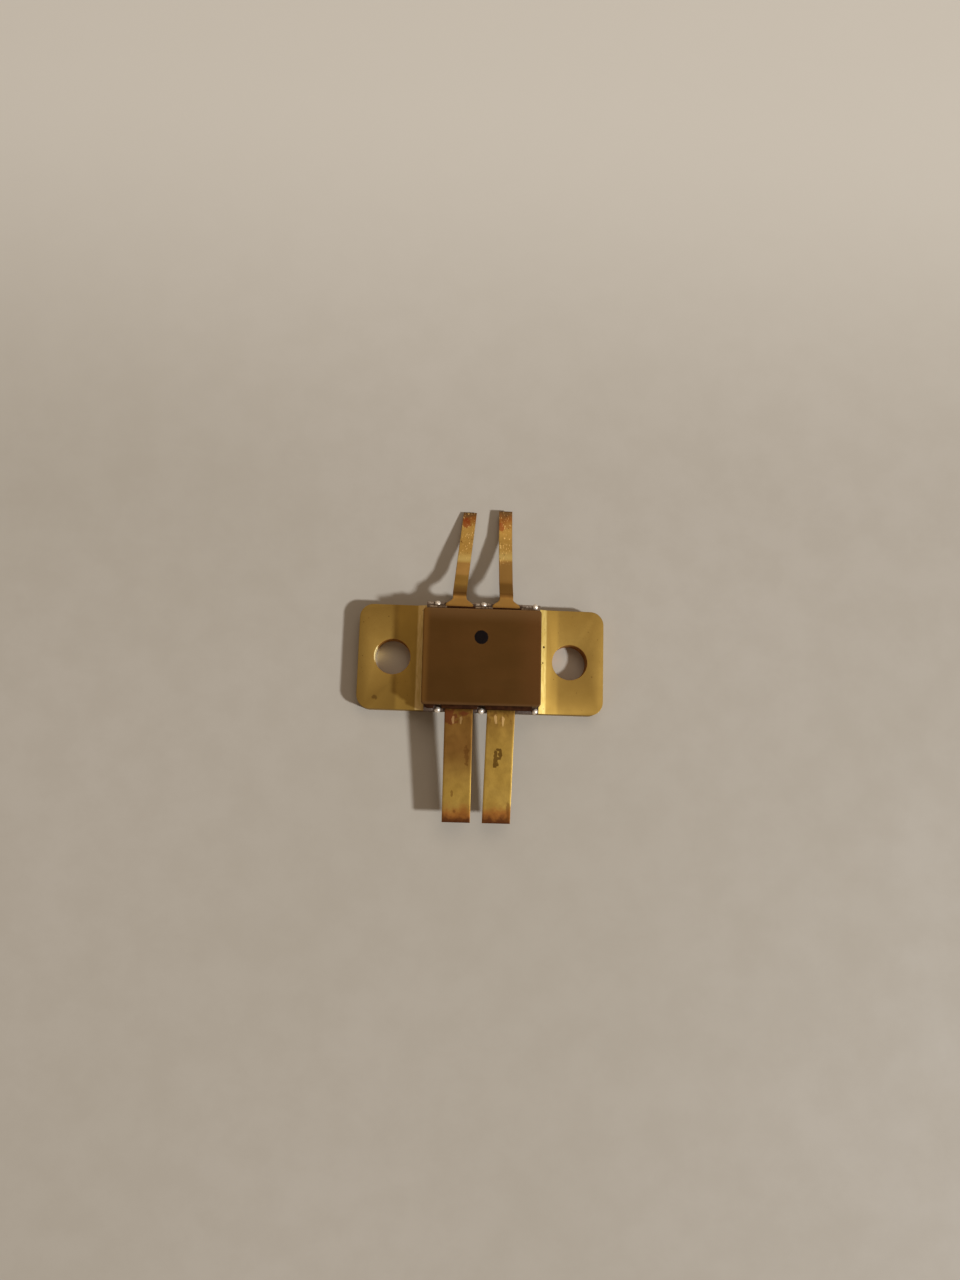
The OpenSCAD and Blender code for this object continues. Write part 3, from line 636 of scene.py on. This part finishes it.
# Sideways drift inward for each millimetre of length, and how far past the base it begins
LEAD_DRIFT = {
    "collector_lead_left": 0.008,
    "collector_lead_right": 0.015,
    "base_lead_left": 0.1,
    "base_lead_right": 0.008,
}
DRIFT_START = 0.9
LEAD_THICKNESS = 0.13
WIDE_WIDTH = 2.54
WIDE_SPACING = 3.81
NARROW_SPACING = 4.32
NARROW_WIDTH = 1.27
FOOT_SHOW = 0.2
NECK_LENGTH = 0.65
RIM = 0.028
STATION = 0.09


def lead_line(node, base_edge, start, end, level):
    """Stations of a lead's middle line, each (distance out, height, slope in radians)."""
    points = [(start, level, 0.0)]
    for bend in LEAD_BENDS[node]:
        y, z, slope = points[-1]
        begin = base_edge + bend.start
        z -= (begin - y) * math.tan(slope)
        turn = 1 if bend.slope > slope else -1
        steps = 24
        for i in range(steps + 1):
            angle = slope + (bend.slope - slope) * i / steps
            points.append((
                begin + turn * bend.radius * (math.sin(angle) - math.sin(slope)),
                z - turn * bend.radius * (math.cos(slope) - math.cos(angle)),
                angle,
            ))
    y, z, slope = points[-1]
    points.append((end, z - (end - y) * math.tan(slope), slope))
    return points


def along(points, y):
    """Height and slope of the middle line at a distance out."""
    for (y0, z0, s0), (y1, z1, s1) in zip(points, points[1:]):
        if y <= y1 and y1 > y0:
            share = (y - y0) / (y1 - y0)
            return z0 + (z1 - z0) * share, s0 + (s1 - s0) * share
    return points[-1][1], points[-1][2]


def lead(node, material):
    """A soft-edged strip on the node's own line and plan, gently uneven."""
    low, high, _ = size_of(node)
    wide = node.startswith("collector")
    sign = -1 if wide else 1
    side = -1 if node.endswith("left") else 1
    base_edge = size_of("ceramic_base")[1].y
    start = -high.y if wide else low.y
    tip_slope = LEAD_BENDS[node][-1].slope
    end = (-low.y if wide else high.y) - LEAD_THICKNESS / 2 * math.sin(tip_slope)
    foot = WIDE_WIDTH / 2
    root_x = side * ((WIDE_SPACING if wide else NARROW_SPACING) / 2 + LEAD_OFFSET[node])
    drift = -side * LEAD_DRIFT[node]
    line = lead_line(node, base_edge, start, end, high.z - LEAD_THICKNESS / 2)
    foot_end = base_edge if wide else size_of("window_frame")[1].y + FOOT_SHOW

    def plan(y):
        past = max(0.0, y - base_edge - (0.0 if wide else DRIFT_START))
        if wide or y <= foot_end:
            half = foot
        else:
            u = min(1.0, (y - foot_end) / NECK_LENGTH)
            half = NARROW_WIDTH / 2 + (foot - NARROW_WIDTH / 2) * (1 + math.cos(math.pi * u)) / 2
        return root_x + drift * past, half

    section = lead_section()
    count = math.ceil((end - start) / STATION)
    work = bmesh.new()
    rim_layer = work.verts.layers.float.new("rim")
    rings = []
    for i in range(count + 1):
        y = start + (end - start) * i / count
        z, slope = along(line, y)
        middle, half = plan(y)
        to_tip = end - y
        shrink = 1.0 if to_tip > RIM else math.sqrt(max(0.0, 1 - (1 - to_tip / RIM) ** 2)) * 0.6 + 0.4
        ring = []
        for across, up, rim in section:
            x = middle + across * (half - RIM) + math.copysign(RIM, across) * rim[0] * (abs(across) == 1)
            thick = up * LEAD_THICKNESS / 2 * shrink
            wave = 0.0
            if y > base_edge:
                fade = min(1.0, (y - base_edge) / 0.8, to_tip / 0.8)
                wave = 0.022 * fade * noise.noise(Vector((x * 0.9, y * 0.45, 3.0 * side)))
            thick += wave
            vert = work.verts.new((
                x * MM,
                sign * (y + thick * math.sin(slope)) * MM,
                (z + thick * math.cos(slope)) * MM,
            ))
            vert[rim_layer] = rim[1]
            ring.append(vert)
        rings.append(ring)
    for a, b in zip(rings, rings[1:]):
        for i in range(len(a)):
            j = (i + 1) % len(a)
            work.faces.new((a[i], a[j], b[j], b[i]))
    work.faces.new(rings[0])
    work.faces.new(rings[-1])
    bmesh.ops.recalc_face_normals(work, faces=work.faces)
    mesh = bpy.data.meshes.new(node + "_strip")
    work.to_mesh(mesh)
    work.free()
    piece = add_object(node + "_strip", mesh, material, node)
    smooth(mesh, 60)
    return piece


def lead_section():
    """Closed section: (place across -1..1, place up -1..1, (rim roundness, rim wear))."""
    across = [i / 8 for i in range(-8, 9)]
    corner = [0.0, 0.5, 0.87, 1.0]
    top = [(a, 1.0, (0.0, 0.0)) for a in across]
    right = [(1, math.sqrt(1 - c * c) * 0.45 + 0.55, (c, 1.0)) for c in corner[1:]]
    bottom = [(-a, -1.0, (0.0, 0.0)) for a in across]
    lower_right = [(1, -u, r) for _, u, r in reversed(right)]
    upper_left = [(-1, u, r) for _, u, r in reversed(right)]
    lower_left = [(-1, -u, r) for _, u, r in right]
    return top + right + lower_right + bottom + lower_left + upper_left


def bead(node, material, seed):
    """Drop of braze on its castellation: round, a little lumpy, with a column below it."""
    low, high, middle = size_of(node)
    radius = (high.x - low.x) / 2
    centre = Vector((middle.x, middle.y, high.z - radius))
    work = bmesh.new()
    bmesh.ops.create_uvsphere(work, u_segments=32, v_segments=24, radius=radius)
    for vert in work.verts:
        direction = vert.co.normalized()
        lump = 1 + 0.07 * noise.noise(direction * 1.6 + Vector((seed * 3.1, 0, 0)))
        place = direction * radius * min(1.0, lump * 0.97)
        if place.z < 0:
            share = min(1.0, -place.z / radius)
            place.z = -share * (centre.z - low.z)
            narrowing = 1 - 0.2 * min(1.0, share * 2)
            place.x *= narrowing
            place.y *= narrowing
        vert.co = (place + centre) * MM
    mesh = bpy.data.meshes.new(node + "_drop")
    work.to_mesh(mesh)
    work.free()
    piece = add_object(node + "_drop", mesh, material, node)
    smooth(mesh, 80)
    return piece


def index_dot(material):
    """Plain round ink dot on the lid, slightly uneven at its rim."""
    low, high, middle = size_of("lid")
    radius = 0.66
    centre = Vector((-0.2, 1.7, high.z - 0.001))
    work = bmesh.new()
    steps = 48
    rings = []
    for share in (0.0, 0.5, 0.9, 1.0):
        ring = []
        for i in range(steps):
            angle = 2 * math.pi * i / steps
            reach = radius * share * (1 + 0.05 * noise.noise(Vector((math.cos(angle) * 3, math.sin(angle) * 3, 1))))
            drop = 0.01 if share == 1.0 else 0.0
            ring.append(work.verts.new((
                (centre.x + reach * math.cos(angle)) * MM,
                (centre.y + reach * math.sin(angle)) * MM,
                (centre.z - drop) * MM,
            )))
        rings.append(ring)
    for a, b in zip(rings, rings[1:]):
        for i in range(steps):
            j = (i + 1) % steps
            work.faces.new((a[i], b[i], b[j], a[j]))
    bmesh.ops.remove_doubles(work, verts=work.verts, dist=1e-8)
    mesh = bpy.data.meshes.new("lid_index_dot")
    work.to_mesh(mesh)
    work.free()
    piece = add_object("lid_index_dot", mesh, material)
    smooth(mesh)
    return piece


# Stage

def table(material):
    half = 0.6
    mesh = bpy.data.meshes.new("table")
    corners = [(-half, -half), (half, -half), (half, half), (-half, half)]
    mesh.from_pydata([(x, y, TABLE_Z) for x, y in corners], [], [(0, 1, 2, 3)])
    floor = bpy.data.objects.new("table", mesh)
    bpy.context.scene.collection.objects.link(floor)
    mesh.materials.append(material)


def camera():
    data = bpy.data.cameras.new("camera")
    data.sensor_fit = "AUTO"
    data.sensor_width = SENSOR_MM
    data.lens = FOCAL_PIXELS / PHOTO_HEIGHT * SENSOR_MM
    data.clip_start = 0.001
    data.clip_end = 10
    view = bpy.data.objects.new("camera", data)
    bpy.context.scene.collection.objects.link(view)
    turn = Matrix.Identity(3)
    for axis, degrees in zip("XYZ", CAMERA_TURN):
        turn = turn @ Matrix.Rotation(math.radians(degrees), 3, axis)
    view.matrix_world = Matrix.Translation(Vector(CAMERA_PLACE) * MM) @ turn.to_4x4()
    bpy.context.scene.camera = view


def lamp(name, direction, distance, size, watts, colour):
    """Round soft lamp that far from the object, facing it."""
    data = bpy.data.lights.new(name, "AREA")
    data.shape = "DISK"
    data.size = size
    data.energy = watts
    data.color = colour
    holder = bpy.data.objects.new(name, data)
    bpy.context.scene.collection.objects.link(holder)
    direction = Vector(direction).normalized()
    holder.location = direction * distance
    holder.rotation_euler = direction.to_track_quat("Z", "Y").to_euler()


def world_light():
    world = bpy.data.worlds.new("studio")
    bpy.context.scene.world = world
    world.use_nodes = True
    background = world.node_tree.nodes["Background"]
    background.inputs["Color"].default_value = (*WORLD_COLOUR, 1)
    background.inputs["Strength"].default_value = WORLD_STRENGTH


bpy.context.scene.view_settings.view_transform = "Standard"
camera()
lamp("key", KEY_DIRECTION, KEY_DISTANCE, KEY_SIZE, KEY_WATTS, KEY_COLOUR)
lamp("fill", FILL_DIRECTION, FILL_DISTANCE, FILL_SIZE, FILL_WATTS, FILL_COLOUR)
world_light()
table(table_top())

gold = gold_plate()
braze = silver_braze()
softened_copy("flange_plate", "flange", 0.03, 3, gold)
softened_copy("base_block", "ceramic_base", 0.04, 2, base_ceramic())
softened_copy("window_ring", "window_frame", 0.05, 3, frame_ceramic(), FRONT_SET_BACK)
glass = dark_glass()
softened_copy("glass_ring", "sealing_glass", 0.004, 1, glass, FRONT_SET_BACK)
lid(lid_gold())
wide_gold = wide_lead_gold()
narrow_gold = narrow_lead_gold()
for side in SIDES:
    lead("collector_lead_" + side, wide_gold)
    lead("base_lead_" + side, narrow_gold)
for seed, row in enumerate(("front", "back")):
    for place, column in enumerate(("left", "middle", "right")):
        bead(f"ground_bead_{row}_{column}", braze, seed * 3 + place)
index_dot(marking_ink())

slot_materials = {
    "silver_braze": braze,
    "gold_film": gold_film(),
    "bond_wire": bond_wire(),
    "dark_glass": glass,
    "silicon": silicon(),
}
slot_of = {row["node"]: row["material_slot"] for row in frame["record"]["subparts"]}
for name, node in frame["nodes"].items():
    if not node.hide_render and slot_of[name] in slot_materials:
        node.data.materials.clear()
        node.data.materials.append(slot_materials[slot_of[name]])
